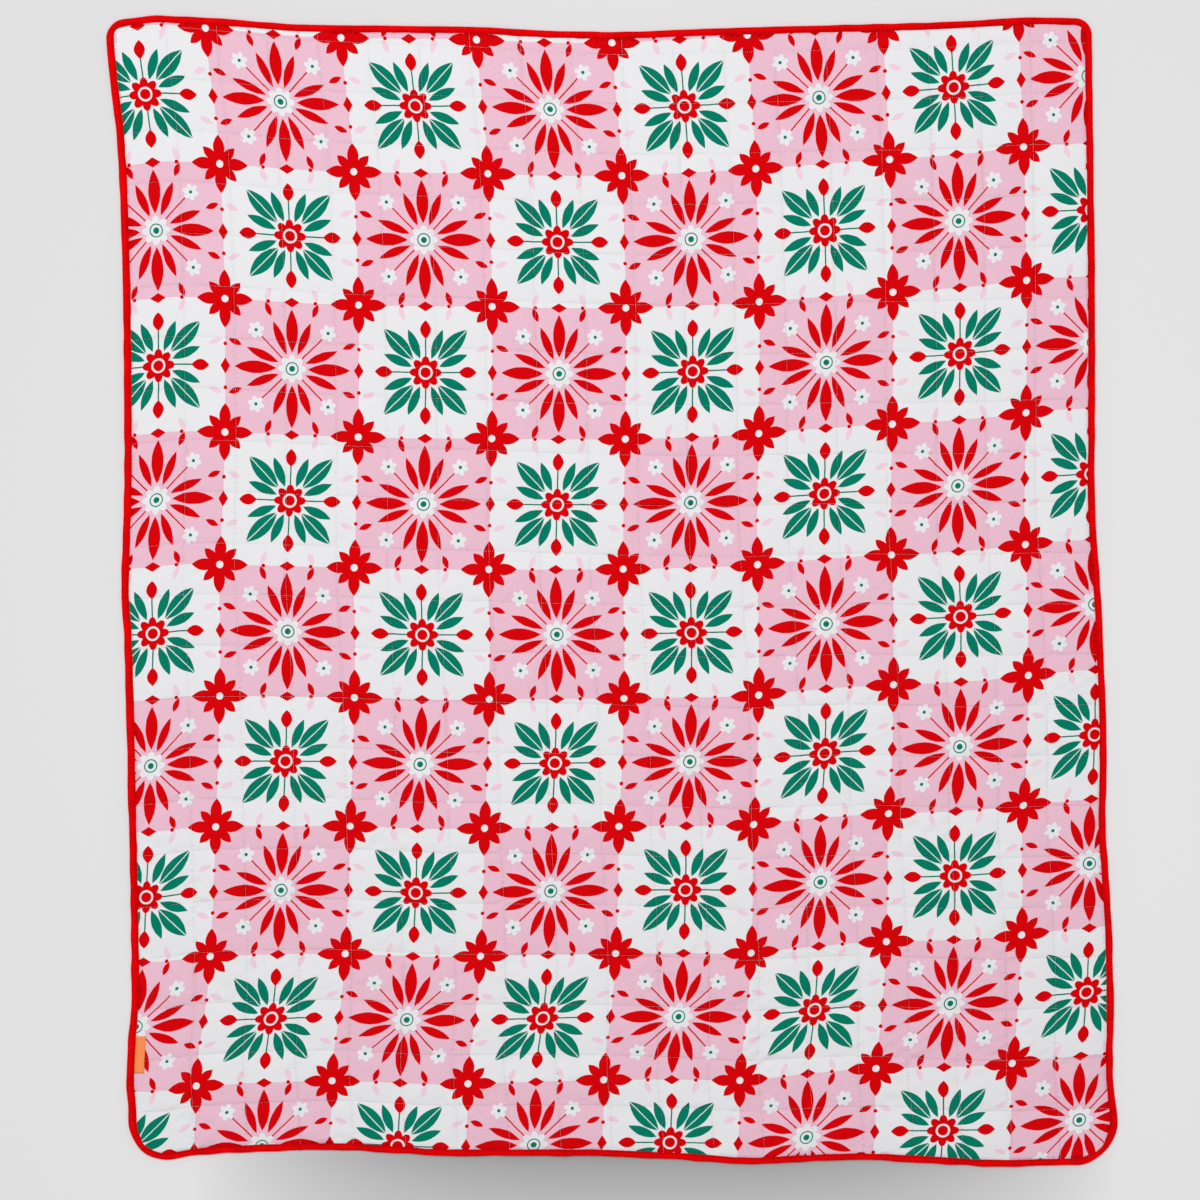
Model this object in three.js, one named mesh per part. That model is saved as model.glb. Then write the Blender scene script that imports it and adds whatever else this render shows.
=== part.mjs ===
import * as THREE from 'three';

// A quilted blanket that lies flat, face up: a filled panel with sewn channels, a binding
// folded over its edge all round, and a small plain tab beside the left binding.
// Millimetres, +Z up. X runs across the blanket and +Y towards its head.
// Places on the cloth are given as s (across) and t (along), before the blanket is laid out.

const cloth = {
  width: 1528,
  height: 1762,
  lean: 34,            // how far the head end lies to the left of the foot end
};

const cornerRadius = { bottomLeft: 60, bottomRight: 70, topRight: 24, topLeft: 26 };

// How far each edge stands out (+) or is drawn in (-). Columns: the share of the way along
// the edge, from its left or lower end, and the distance.
const edgeWander = {
  bottom: [
    { at: 0, out: 6 }, { at: 0.034, out: 5.5 }, { at: 0.07, out: -3 }, { at: 0.2, out: -11 },
    { at: 0.26, out: -7 }, { at: 0.31, out: -2 }, { at: 0.47, out: -1 }, { at: 0.55, out: 4 },
    { at: 0.63, out: 12 }, { at: 0.67, out: 8.5 }, { at: 0.75, out: 5.5 }, { at: 0.87, out: 15 },
    { at: 0.95, out: 13 }, { at: 1, out: 12 },
  ],
  right: [
    { at: 0, out: 9 }, { at: 0.04, out: 8 }, { at: 0.08, out: 3 }, { at: 0.12, out: 5.5 },
    { at: 0.18, out: 6.5 }, { at: 0.25, out: 3 }, { at: 0.29, out: -1 }, { at: 0.36, out: 3 },
    { at: 0.46, out: 1 }, { at: 0.5, out: -1.5 }, { at: 0.57, out: -8 }, { at: 0.64, out: -6 },
    { at: 0.75, out: -2 }, { at: 1, out: 1 },
  ],
  top: [
    { at: 0, out: 4 }, { at: 0.022, out: 10 }, { at: 0.05, out: 15 }, { at: 0.08, out: 13.5 },
    { at: 0.12, out: 10 }, { at: 0.2, out: 1 }, { at: 0.29, out: -1 }, { at: 0.37, out: -2.5 },
    { at: 0.45, out: -8.5 }, { at: 0.53, out: -10 }, { at: 0.61, out: -5.5 }, { at: 0.69, out: -2 },
    { at: 0.86, out: 5.5 }, { at: 0.94, out: 12 }, { at: 1, out: 10 },
  ],
  left: [
    { at: 0, out: 2 }, { at: 0.04, out: 3 }, { at: 0.08, out: 5 }, { at: 0.15, out: -5 },
    { at: 0.32, out: -6 }, { at: 0.46, out: -4.5 }, { at: 0.5, out: -1.5 }, { at: 0.6, out: -9.5 },
    { at: 0.75, out: -13 }, { at: 0.82, out: -12 }, { at: 0.9, out: -7.5 }, { at: 0.96, out: 3 },
    { at: 1, out: 7 },
  ],
};

const quilting = {
  columns: 19,
  rows: 23,            // the topmost is the thin strip
  rowPitch: 78.4,      // the lowest row takes what is left
  topStrip: 19,
};

const loft = {
  underChannel: 1.2,   // the stitching draws the underside up off the surface
  overChannel: 3.6,
  crown: 8,
  crownShare: 0.4,     // how far the slope of a puff reaches towards its middle
};

// The filling is a little uneven. Columns: wavelength across and along, and height.
const unevenFilling = [
  { across: 940, along: 1310, high: 0.35 },
  { across: 410, along: -560, high: 0.3 },
  { across: -230, along: 270, high: 0.2 },
];

const lipWidth = { bottom: 12, right: 11, top: 9.5, left: 12 };   // how far the binding covers the face
const seamBeyondLip = 1.5;
const panelEdge = { inset: 4, z: 1.9 };

// Across the folded binding. Columns: a share of the lip's width plus a distance in from the
// outline, and the height.
const bindingSection = [
  { part: 'foot of the fold', share: 0, inset: 0, z: 0 },
  { part: 'lower lip', share: 1, inset: 0, z: 0 },
  { part: 'throat', share: 0, inset: 1.8, z: 1.9 },
  { part: 'upper lip, inside', share: 1, inset: 0, z: 3.7 },
  { part: 'upper lip, outside', share: 1, inset: 0, z: 4.9 },
  { part: 'shoulder of the fold', share: 0, inset: 0, z: 3.2 },
];

const tab = {
  width: 15,
  length: 57,
  seamRow: 2,          // it is centred on this cross seam, counted from the foot end
  thickness: 1.1,
  clearance: 0.4,
};

const arcAngles = [15, 45, 75];     // where the outline is cut in each round corner
const halfWidth = cloth.width / 2;
const halfHeight = cloth.height / 2;

// The height of a smooth curve through a table's rows.
function alongTable(rows, at) {
  const last = rows.length - 1;
  const place = THREE.MathUtils.clamp(at, rows[0].at, rows[last].at);
  let i = 0;
  while (i < last - 1 && place > rows[i + 1].at) i += 1;
  const slope = (k) => {
    const before = rows[Math.max(k - 1, 0)];
    const after = rows[Math.min(k + 1, last)];
    return (after.out - before.out) / (after.at - before.at);
  };
  const span = rows[i + 1].at - rows[i].at;
  const f = (place - rows[i].at) / span;
  const rise = f * f * (3 - 2 * f);
  return rows[i].out * (1 - rise) + rows[i + 1].out * rise
    + span * f * (1 - f) * (slope(i) * (1 - f) - slope(i + 1) * f);
}

// Where a place on the cloth comes to lie, before the blanket is centred.
function laidOut(s, t) {
  const u = s / cloth.width + 0.5;
  const v = t / cloth.height + 0.5;
  return {
    x: s - cloth.lean * (t / cloth.height)
      - (1 - u) * alongTable(edgeWander.left, v) + u * alongTable(edgeWander.right, v),
    y: t - (1 - v) * alongTable(edgeWander.bottom, u) + v * alongTable(edgeWander.top, u),
  };
}

// The quilting's own lines, from the seam beside one lip to the seam beside the other.
function seamLines() {
  const firstColumn = -halfWidth + lipWidth.left + seamBeyondLip;
  const lastColumn = halfWidth - lipWidth.right - seamBeyondLip;
  const across = [];
  for (let c = 0; c <= quilting.columns; c += 1) {
    across.push(THREE.MathUtils.lerp(firstColumn, lastColumn, c / quilting.columns));
  }
  const topSeam = halfHeight - lipWidth.top - seamBeyondLip;
  const along = [topSeam];
  for (let r = 1; r < quilting.rows; r += 1) {
    along.unshift(topSeam - quilting.topStrip - (r - 1) * quilting.rowPitch);
  }
  along.unshift(-halfHeight + lipWidth.bottom + seamBeyondLip);
  return { across, along };
}

// Stations all round the outline, against the clock from the bottom-left corner. Each has its
// place, the way out, the width of the lip there, and the quilting node that lies inside it.
function outlineStations({ across, along }) {
  const { columns, rows } = quilting;
  const innerColumns = across.slice(1, columns);
  const innerRows = along.slice(1, rows);
  const sides = [
    { side: 'bottom', corner: 'bottomLeft', before: 'left', turn: 180, ways: [-1, -1], node: [0, 0],
      line: innerColumns.map((s, i) => ({ s, t: -halfHeight, node: [i + 1, 0] })) },
    { side: 'right', corner: 'bottomRight', before: 'bottom', turn: 270, ways: [1, -1], node: [columns, 0],
      line: innerRows.map((t, i) => ({ s: halfWidth, t, node: [columns, i + 1] })) },
    { side: 'top', corner: 'topRight', before: 'right', turn: 0, ways: [1, 1], node: [columns, rows],
      line: innerColumns.map((s, i) => ({ s, t: halfHeight, node: [i + 1, rows] })).reverse() },
    { side: 'left', corner: 'topLeft', before: 'top', turn: 90, ways: [-1, 1], node: [0, rows],
      line: innerRows.map((t, i) => ({ s: -halfWidth, t, node: [0, i + 1] })).reverse() },
  ];
  const outward = { bottom: [0, -1], right: [1, 0], top: [0, 1], left: [-1, 0] };
  const stations = [];
  for (const { side, corner, before, turn, ways, node, line } of sides) {
    const radius = cornerRadius[corner];
    const middle = [ways[0] * (halfWidth - radius), ways[1] * (halfHeight - radius)];
    for (const angle of arcAngles) {
      const way = THREE.MathUtils.degToRad(turn + angle);
      const out = [Math.cos(way), Math.sin(way)];
      stations.push({
        s: middle[0] + radius * out[0],
        t: middle[1] + radius * out[1],
        out,
        lip: THREE.MathUtils.lerp(lipWidth[before], lipWidth[side], angle / 90),
        node: angle === 45 ? node : null,
      });
    }
    for (const place of line) {
      stations.push({ ...place, out: outward[side], lip: lipWidth[side] });
    }
  }
  return stations;
}

const lines = seamLines();
const stations = outlineStations(lines);

// The middle of the laid-out blanket's own box, which becomes the origin.
function outlineMiddle() {
  const box = new THREE.Box2();
  for (const { s, t } of stations) {
    const { x, y } = laidOut(s, t);
    box.expandByPoint(new THREE.Vector2(x, y));
  }
  return box.getCenter(new THREE.Vector2());
}

const middle = outlineMiddle();

// A closed skin that is built up from places on the cloth.
class Skin {
  constructor() {
    this.points = [];
    this.faces = [];
  }

  add(s, t, z) {
    const { x, y } = laidOut(s, t);
    this.points.push(x - middle.x, y - middle.y, z);
    return this.points.length / 3 - 1;
  }

  addInside(station, inset, z) {
    return this.add(station.s - inset * station.out[0], station.t - inset * station.out[1], z);
  }

  // A place a share of the way along the straight run between two places on the cloth.
  addBetween(from, to, share, z) {
    const [a, b] = [laidOut(...from), laidOut(...to)];
    const x = THREE.MathUtils.lerp(a.x, b.x, share);
    const y = THREE.MathUtils.lerp(a.y, b.y, share);
    this.points.push(x - middle.x, y - middle.y, z);
    return this.points.length / 3 - 1;
  }

  // One flat face as a fan, turned over where it looks down.
  face(corners, looksUp = true) {
    for (let i = 1; i < corners.length - 1; i += 1) {
      const [a, b, c] = [corners[0], corners[i], corners[i + 1]];
      this.faces.push(...(looksUp ? [a, b, c] : [a, c, b]));
    }
  }

  geometry() {
    const geometry = new THREE.BufferGeometry();
    geometry.setAttribute('position', new THREE.Float32BufferAttribute(this.points, 3));
    geometry.setIndex(this.faces);
    geometry.computeVertexNormals();
    return geometry;
  }
}

function fillingHeight(s, t) {
  let high = 0;
  for (const wave of unevenFilling) {
    high += wave.high * Math.sin(2 * Math.PI * (s / wave.across + t / wave.along));
  }
  return high;
}

// One face of the quilt: a crown in each square, with slopes down to the seams around it.
function quiltLayer(skin, edge, channelZ, crownZ, looksUp) {
  const nodeKey = (node) => node.join();
  const ring = stations.map((station) => skin.addInside(station, station.lip + seamBeyondLip, channelZ));
  const ringPlace = new Map();
  stations.forEach((station, i) => {
    if (station.node) ringPlace.set(nodeKey(station.node), i);
  });
  const seamPoints = new Map();
  const seamPoint = (node) => {
    const key = nodeKey(node);
    if (ringPlace.has(key)) return ring[ringPlace.get(key)];
    if (!seamPoints.has(key)) {
      seamPoints.set(key, skin.add(lines.across[node[0]], lines.along[node[1]], channelZ));
    }
    return seamPoints.get(key);
  };
  // The seam from one node to the next, which has one more point beside a round corner.
  const seamPath = (from, to) => {
    const start = ringPlace.get(nodeKey(from));
    const end = ringPlace.get(nodeKey(to));
    const betweenThem = start !== undefined && end !== undefined
      && (end - start + stations.length) % stations.length === 2;
    const extra = betweenThem ? [ring[(start + 1) % stations.length]] : [];
    return [seamPoint(from), ...extra, seamPoint(to)];
  };
  const nodePlace = (node) => {
    const i = ringPlace.get(nodeKey(node));
    if (i === undefined) return [lines.across[node[0]], lines.along[node[1]]];
    const station = stations[i];
    const inset = station.lip + seamBeyondLip;
    return [station.s - inset * station.out[0], station.t - inset * station.out[1]];
  };

  for (let c = 0; c < quilting.columns; c += 1) {
    for (let r = 0; r < quilting.rows; r += 1) {
      const nodes = [[c, r], [c + 1, r], [c + 1, r + 1], [c, r + 1]];
      const paths = nodes.map((node, k) => seamPath(node, nodes[(k + 1) % 4]));
      if (r === quilting.rows - 1) {
        skin.face(paths.flatMap((path) => path.slice(0, -1)), looksUp);
        continue;
      }
      const corners = nodes.map(nodePlace);
      const centre = [0, 1].map((axis) => corners.reduce((sum, corner) => sum + corner[axis], 0) / 4);
      const crown = corners.map((corner) => {
        const s = THREE.MathUtils.lerp(corner[0], centre[0], loft.crownShare);
        const t = THREE.MathUtils.lerp(corner[1], centre[1], loft.crownShare);
        return skin.add(s, t, crownZ(s, t));
      });
      skin.face(crown, looksUp);
      paths.forEach((path, k) => skin.face([crown[k], ...path, crown[(k + 1) % 4]], looksUp));
    }
  }
  stations.forEach((station, i) => {
    const next = (i + 1) % stations.length;
    skin.face([ring[i], edge[i], edge[next], ring[next]], looksUp);
  });
}

function quiltPanel() {
  const skin = new Skin();
  const edge = stations.map((station) => skin.addInside(station, panelEdge.inset, panelEdge.z));
  quiltLayer(skin, edge, loft.overChannel, (s, t) => loft.crown + fillingHeight(s, t), true);
  quiltLayer(skin, edge, loft.underChannel, () => 0, false);
  return skin.geometry();
}

function edgeBinding() {
  const skin = new Skin();
  const rings = stations.map((station) => bindingSection.map(
    ({ share, inset, z }) => skin.addInside(station, share * station.lip + inset, z),
  ));
  rings.forEach((ring, i) => {
    const nextRing = rings[(i + 1) % rings.length];
    ring.forEach((point, j) => {
      const beside = (j + 1) % ring.length;
      skin.face([point, ring[beside], nextRing[beside], nextRing[j]]);
    });
  });
  return skin.geometry();
}

// The tab lies on the slope of the puffs beside the left lip, a little above them, and bends
// with the lip where it crosses a seam.
function sideTab() {
  const skin = new Skin();
  const seam = lipWidth.left + seamBeyondLip;
  const columnWidth = lines.across[1] - lines.across[0];
  const slope = (loft.crown - loft.overChannel) / (loft.crownShare * columnWidth / 2);
  const near = lipWidth.left + tab.clearance;
  const insets = [near, seam, near + tab.width];
  const underside = (inset) => loft.overChannel + slope * Math.max(inset - seam, 0) + tab.clearance;
  const seamY = lines.along[tab.seamRow];
  const share = (tab.length / 2) / quilting.rowPitch;
  const rows = [-1, 0, 1].map((way) => {
    const beside = lines.along[tab.seamRow + way];
    const points = (raise) => insets.map((inset) => skin.addBetween(
      [-halfWidth + inset, seamY], [-halfWidth + inset, beside], share, underside(inset) + raise,
    ));
    return { below: points(0), above: points(tab.thickness) };
  });
  for (let j = 0; j < rows.length - 1; j += 1) {
    const [here, next] = [rows[j], rows[j + 1]];
    for (let i = 0; i < insets.length - 1; i += 1) {
      skin.face([here.above[i], here.above[i + 1], next.above[i + 1], next.above[i]]);
      skin.face([here.below[i], here.below[i + 1], next.below[i + 1], next.below[i]], false);
    }
    const far = insets.length - 1;
    skin.face([here.below[0], here.above[0], next.above[0], next.below[0]]);
    skin.face([here.below[far], here.above[far], next.above[far], next.below[far]], false);
  }
  for (const [end, looksOut] of [[rows[0], true], [rows[rows.length - 1], false]]) {
    for (let i = 0; i < insets.length - 1; i += 1) {
      skin.face([end.below[i], end.below[i + 1], end.above[i + 1], end.above[i]], looksOut);
    }
  }
  return skin.geometry();
}

const fabric = {
  print: new THREE.MeshStandardMaterial({ color: 0xecb9ca, roughness: 0.9, metalness: 0, flatShading: true }),
  binding: new THREE.MeshStandardMaterial({ color: 0xd8141c, roughness: 0.8, metalness: 0, flatShading: true }),
  tab: new THREE.MeshStandardMaterial({ color: 0xfd9652, roughness: 0.7, metalness: 0, flatShading: true }),
};

const blanket = new THREE.Group();
const pieces = [
  { name: 'quilt_panel', geometry: quiltPanel(), material: fabric.print },
  { name: 'edge_binding', geometry: edgeBinding(), material: fabric.binding },
  { name: 'side_tab', geometry: sideTab(), material: fabric.tab },
];
for (const { name, geometry, material } of pieces) {
  const mesh = new THREE.Mesh(geometry, material);
  mesh.name = name;
  blanket.add(mesh);
}

export default blanket;
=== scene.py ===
import math

import bmesh
import bpy
import numpy as np
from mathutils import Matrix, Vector


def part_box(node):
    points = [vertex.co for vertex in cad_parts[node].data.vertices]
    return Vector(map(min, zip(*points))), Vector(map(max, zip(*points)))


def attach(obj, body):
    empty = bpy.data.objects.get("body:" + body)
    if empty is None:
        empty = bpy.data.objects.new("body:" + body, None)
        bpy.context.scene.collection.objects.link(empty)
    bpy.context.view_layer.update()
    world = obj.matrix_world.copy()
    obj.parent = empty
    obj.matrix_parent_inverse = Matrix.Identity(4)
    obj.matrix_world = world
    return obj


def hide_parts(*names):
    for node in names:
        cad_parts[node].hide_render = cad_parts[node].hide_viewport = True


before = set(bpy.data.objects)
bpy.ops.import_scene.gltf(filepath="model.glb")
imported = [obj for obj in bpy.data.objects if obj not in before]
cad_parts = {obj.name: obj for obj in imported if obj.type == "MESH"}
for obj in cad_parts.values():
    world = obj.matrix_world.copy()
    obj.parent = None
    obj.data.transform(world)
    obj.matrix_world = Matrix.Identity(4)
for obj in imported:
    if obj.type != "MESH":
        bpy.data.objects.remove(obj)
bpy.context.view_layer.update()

# Lengths are in millimetres, and turn to metres where a mesh or a material is written.
mm = 0.001

# The blanket's shape. s runs across the cloth and t along it, before it is laid out.
cloth = {
    "width": 1528,
    "height": 1762,
    "lean": 34,             # how far the head end lies to the left of the foot end
    # corners against the clock from the bottom left: which way each lies, and its radius
    "corners": [(-1, -1, 60), (1, -1, 70), (1, 1, 24), (-1, 1, 26)],
    "lips": {"bottom": 10.5, "right": 11, "top": 11, "left": 12},   # how much the binding covers
    "seamBeyondLip": 1.5,
    "panelInset": 4,        # the panel ends this far inside the binding's fold
}

# How far each edge stands out (+) or is drawn in (-): share of the way along it, distance.
edgeWander = {
    "bottom": [(0, 6), (0.034, 5.5), (0.07, -3), (0.2, -11), (0.26, -7), (0.31, -2), (0.47, -1),
               (0.55, 4), (0.63, 12), (0.67, 8.5), (0.75, 5.5), (0.87, 15), (0.95, 13), (1, 12)],
    "right": [(0, 9), (0.04, 8), (0.08, 3), (0.12, 5.5), (0.18, 6.5), (0.25, 3), (0.29, -1),
              (0.36, 3), (0.46, 1), (0.5, -1.5), (0.57, -8), (0.64, -6), (0.75, -2), (1, 1)],
    "top": [(0, 4), (0.022, 10), (0.05, 15), (0.08, 13.5), (0.12, 10), (0.2, 1), (0.29, -1),
            (0.37, -2.5), (0.45, -8.5), (0.53, -10), (0.61, -5.5), (0.69, -2), (0.86, 5.5),
            (0.94, 12), (1, 10)],
    "left": [(0, 2), (0.04, 3), (0.08, 5), (0.15, -5), (0.32, -6), (0.46, -4.5), (0.5, -1.5),
             (0.6, -9.5), (0.75, -13), (0.82, -12), (0.9, -7.5), (0.96, 3), (1, 7)],
}

quilting = {
    "columns": 19,
    "rows": 22,             # and a thin strip above them
    "rowPitch": 78.4,       # the lowest row takes what is left
    "topStrip": 17.5,
    "seamHeight": 3.1,
    "edgeHeight": 2.3,      # where the face is pressed flat inside the binding
}

halfWidth, halfHeight = cloth["width"] / 2, cloth["height"] / 2


# A smooth curve through the rows of one edge's table.
def alongTable(rows, at):
    place, out = np.array(rows, float).T
    here = np.arange(len(place))
    before, after = np.maximum(here - 1, 0), np.minimum(here + 1, len(place) - 1)
    slope = (out[after] - out[before]) / (place[after] - place[before])
    at = np.clip(at, 0, 1)
    i = np.clip(np.searchsorted(place, at) - 1, 0, len(place) - 2)
    span = place[i + 1] - place[i]
    f = (at - place[i]) / span
    rise = f * f * (3 - 2 * f)
    bend = span * f * (1 - f) * (slope[i] * (1 - f) - slope[i + 1] * f)
    return out[i] * (1 - rise) + out[i + 1] * rise + bend


# Where a place on the cloth comes to lie.
def laidOut(s, t):
    u, v = s / cloth["width"] + 0.5, t / cloth["height"] + 0.5
    x = s - cloth["lean"] * (v - 0.5)
    x = x - (1 - u) * alongTable(edgeWander["left"], v) + u * alongTable(edgeWander["right"], v)
    y = t - (1 - v) * alongTable(edgeWander["bottom"], u) + v * alongTable(edgeWander["top"], u)
    return x - middle[0], y - middle[1]


# Places all round the outline, against the clock from the bottom-left corner: s, t, the way
# out, the lip's width, and the distance along the edge. Each side follows its corner's arc.
def outlinePlaces(step):
    corners, lips = cloth["corners"], list(cloth["lips"].values())
    rows = []
    for number, (sideS, sideT, radius) in enumerate(corners):
        centre = np.array([sideS * (halfWidth - radius), sideT * (halfHeight - radius)])
        arcSteps = max(4, round(radius * math.pi / 2 / step))
        for k in range(arcSteps):
            share = k / arcSteps
            angle = math.radians(180 + 90 * (number + share))
            out = np.array([math.cos(angle), math.sin(angle)])
            lip = lips[number - 1] + (lips[number] - lips[number - 1]) * share
            rows.append([*(centre + radius * out), *out, lip])
        angle = math.radians(270 + 90 * number)
        out = np.rint([math.cos(angle), math.sin(angle)])
        heading = np.array([-out[1], out[0]])
        nextRadius = corners[(number + 1) % 4][2]
        length = 2 * (halfWidth if heading[0] else halfHeight) - radius - nextRadius
        lineSteps = round(length / step)
        for k in range(lineSteps):
            rows.append([*(centre + radius * out + heading * length * k / lineSteps), *out, lips[number]])
    s, t, outS, outT, lip = np.array(rows).T
    gaps = np.hypot(np.diff(s, append=s[0]), np.diff(t, append=t[0]))
    return {"s": s, "t": t, "outS": outS, "outT": outT, "lip": lip,
            "along": np.concatenate([[0], np.cumsum(gaps)[:-1]]), "length": gaps.sum()}


# The laid-out outline is centred on the CAD binding's own box.
middle = (0, 0)
outline = outlinePlaces(4)
outlineX, outlineY = laidOut(outline["s"], outline["t"])
bindingLow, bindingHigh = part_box("edge_binding")
middle = tuple(
    (edge.min() + edge.max()) / 2 - (low + high) / 2 / mm
    for edge, low, high in zip((outlineX, outlineY), bindingLow, bindingHigh)
)


# The seams' places across and along the cloth, with the panel's own edges outside them.
def seamLines():
    lips, beyond, inset = cloth["lips"], cloth["seamBeyondLip"], cloth["panelInset"]
    across = np.linspace(-halfWidth + lips["left"] + beyond, halfWidth - lips["right"] - beyond,
                         quilting["columns"] + 1)
    topSeam = halfHeight - lips["top"] - beyond
    rows = topSeam - quilting["topStrip"] - quilting["rowPitch"] * np.arange(quilting["rows"])[::-1]
    along = np.concatenate([[-halfHeight + lips["bottom"] + beyond], rows, [topSeam]])
    return (np.concatenate([[inset - halfWidth], across, [halfWidth - inset]]),
            np.concatenate([[inset - halfHeight], along, [halfHeight - inset]]))


acrossLines, alongLines = seamLines()


# How far the hand-guided quilting has drifted from an even grid. The columns bow to the right
# towards the foot, the rows run downhill, and the lines under the binding stay where they are.
def drifted(s, t):
    across, along = s / halfWidth, t / halfHeight
    driftS = (8.5 - 13 * along) * (1 - across ** 2) - 2.5 * across
    driftT = 10 * np.maximum(along, 0) * across ** 2 - (3 + 10 * along) * across - 5
    inColumns = np.interp(s, acrossLines[[1, 2, -3, -2]], [0, 1, 1, 0])
    inRows = np.interp(t, alongLines[[1, 2, -3, -2]], [0, 1, 1, 0])
    return s + driftS * inColumns, t + np.minimum(driftT, 12) * inRows


# Squeezes the corners of the panel's square grid into its round corners.
def roundedIn(s, t):
    inset = cloth["panelInset"]
    s, t = s.copy(), t.copy()
    for sideS, sideT, outerRadius in cloth["corners"]:
        radius = outerRadius - inset
        baseS, baseT = halfWidth - inset - radius, halfHeight - inset - radius
        p, q = (sideS * s - baseS) / radius, (sideT * t - baseT) / radius
        inside = (p > 0) & (q > 0)
        p, q = p[inside], q[inside]
        s[inside] = sideS * (baseS + radius * p * np.sqrt(1 - q * q / 2))
        t[inside] = sideT * (baseT + radius * q * np.sqrt(1 - p * p / 2))
    return s, t


# Broad shallow waves, in which the blanket stands a little off the floor.
waves = [   # wavelength across and along, height, how far along it starts
    (870, 1450, 0.9, 0.4),
    (-520, 640, 0.6, 2.1),
    (330, 410, 0.35, 4.0),
]


def liftOff(s, t):
    lift = sum(high * (1 + np.sin(2 * math.pi * (s / across + t / along) + start)) / 2
               for across, along, high, start in waves)
    return lift + 0.15      # the underside never cuts the floor


def readVectors(data, name, size, kind=float):
    values = np.empty(len(data) * size, kind)
    data.foreach_get(name, values)
    return values.reshape(-1, size)


def writePlaces(mesh, spots):       # the places are in millimetres
    mesh.vertices.foreach_set("co", (spots * mm).ravel())


def newPiece(name, data):
    piece = bpy.data.objects.new(name, data)
    bpy.context.collection.objects.link(piece)
    return piece


# Turns a piece with its modifiers into plain mesh.
def applied(piece):
    bpy.context.view_layer.update()
    mesh = bpy.data.meshes.new_from_object(piece.evaluated_get(bpy.context.evaluated_depsgraph_get()))
    piece.modifiers.clear()
    old = piece.data
    piece.data = mesh
    bpy.data.meshes.remove(old)
    return piece


# Where each column and row of a grid's vertices lies among its cells, and where its seams are.
def gridStops(cells):
    across = [cells["rim"]] + [cells["square"]] * quilting["columns"] + [cells["rim"]]
    along = [cells["rim"]] + [cells["square"]] * quilting["rows"] + [cells["strip"], cells["rim"]]
    return np.concatenate([[0], np.cumsum(across)]), np.concatenate([[0], np.cumsum(along)])


# The cloth at places of the grid: its own coordinates, and how far the nearest seams are.
def clothAt(i, j, stops):
    s, t = np.interp(i, stops[0], acrossLines), np.interp(j, stops[1], alongLines)
    toColumn = np.abs(s[..., None] - acrossLines[1:-1]).min(-1)
    toRow = np.abs(t[..., None] - alongLines[1:-1]).min(-1)
    return (*roundedIn(*drifted(s, t)), toColumn, toRow)


# The height of the seams, which the face is held at, above the lift off the floor.
def heldHeight(i, j, stops):
    low, high = quilting["edgeHeight"], quilting["seamHeight"]
    columns, rows = (np.interp(at, ends[[0, 1, -2, -1]], [low, high, high, low])
                     for at, ends in ((i, stops[0]), (j, stops[1])))
    return np.minimum(columns, rows)


# How far each place of the grid is from its seams both ways: 0 on a seam and 1 midway.
def puffShares(i, j, stops):
    return [np.abs(np.sin(math.pi * np.interp(at, ends, np.arange(len(ends)))))
            for at, ends in ((i, stops[0]), (j, stops[1]))]


# A flat grid of cells, with the column and the row of each of its vertices.
def flatGrid(name, columns, rows):
    grid = bmesh.new()
    bmesh.ops.create_grid(grid, x_segments=columns, y_segments=rows, size=1)
    mesh = bpy.data.meshes.new(name)
    grid.to_mesh(mesh)
    grid.free()
    i, j = np.rint((readVectors(mesh.vertices, "co", 3)[:, :2] + 1) / 2 * (columns, rows)).T
    return mesh, i, j


# A grid whose lines fall on the seams, with the same number of cells in each square. One UV map
# holds each corner's place in the grid.
def clothGrid(name, cells):
    stops = gridStops(cells)
    mesh, i, j = flatGrid(name, int(stops[0][-1]), int(stops[1][-1]))
    writeMap(mesh, "gridMap", i, j)
    return mesh, i, j, stops


# Writes a built shape to its mesh, smooth and with its faces outwards, and gives its volume.
def finishShape(shape, mesh):
    bmesh.ops.recalc_face_normals(shape, faces=shape.faces)
    for part in shape.faces:
        part.smooth = True
    volume = shape.calc_volume()
    shape.to_mesh(mesh)
    shape.free()
    return volume


def cornerVertices(mesh):
    return readVectors(mesh.loops, "vertex_index", 1, int)[:, 0]


def writeMap(mesh, name, first, second):
    values = np.stack([first, second], 1)[cornerVertices(mesh)]
    mesh.uv_layers.new(name=name).data.foreach_set("uv", values.ravel())


# The two values that a map holds at each vertex. The map is taken away.
def takeMap(mesh, name):
    values = np.empty((len(mesh.vertices), 2))
    values[cornerVertices(mesh)] = readVectors(mesh.uv_layers[name].data, "uv", 2)
    mesh.uv_layers.remove(mesh.uv_layers[name])
    return values.T


# The ends of each edge of a mesh, as two lists.
def edgeEnds(mesh):
    return readVectors(mesh.edges, "vertices", 2, int).T


def markEdges(mesh, name, values, kind="BOOLEAN"):
    mesh.attributes.new(name, kind, "EDGE").data.foreach_set("value", values)


# Edges that run along the lines numbered in stops, one mask for columns and one for rows.
def edgesOnLines(mesh, i, j, columnStops, rowStops):
    first, second = edgeEnds(mesh)
    return ((i[first] == i[second]) & np.isin(i[first], columnStops),
            (j[first] == j[second]) & np.isin(j[first], rowStops))


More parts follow.
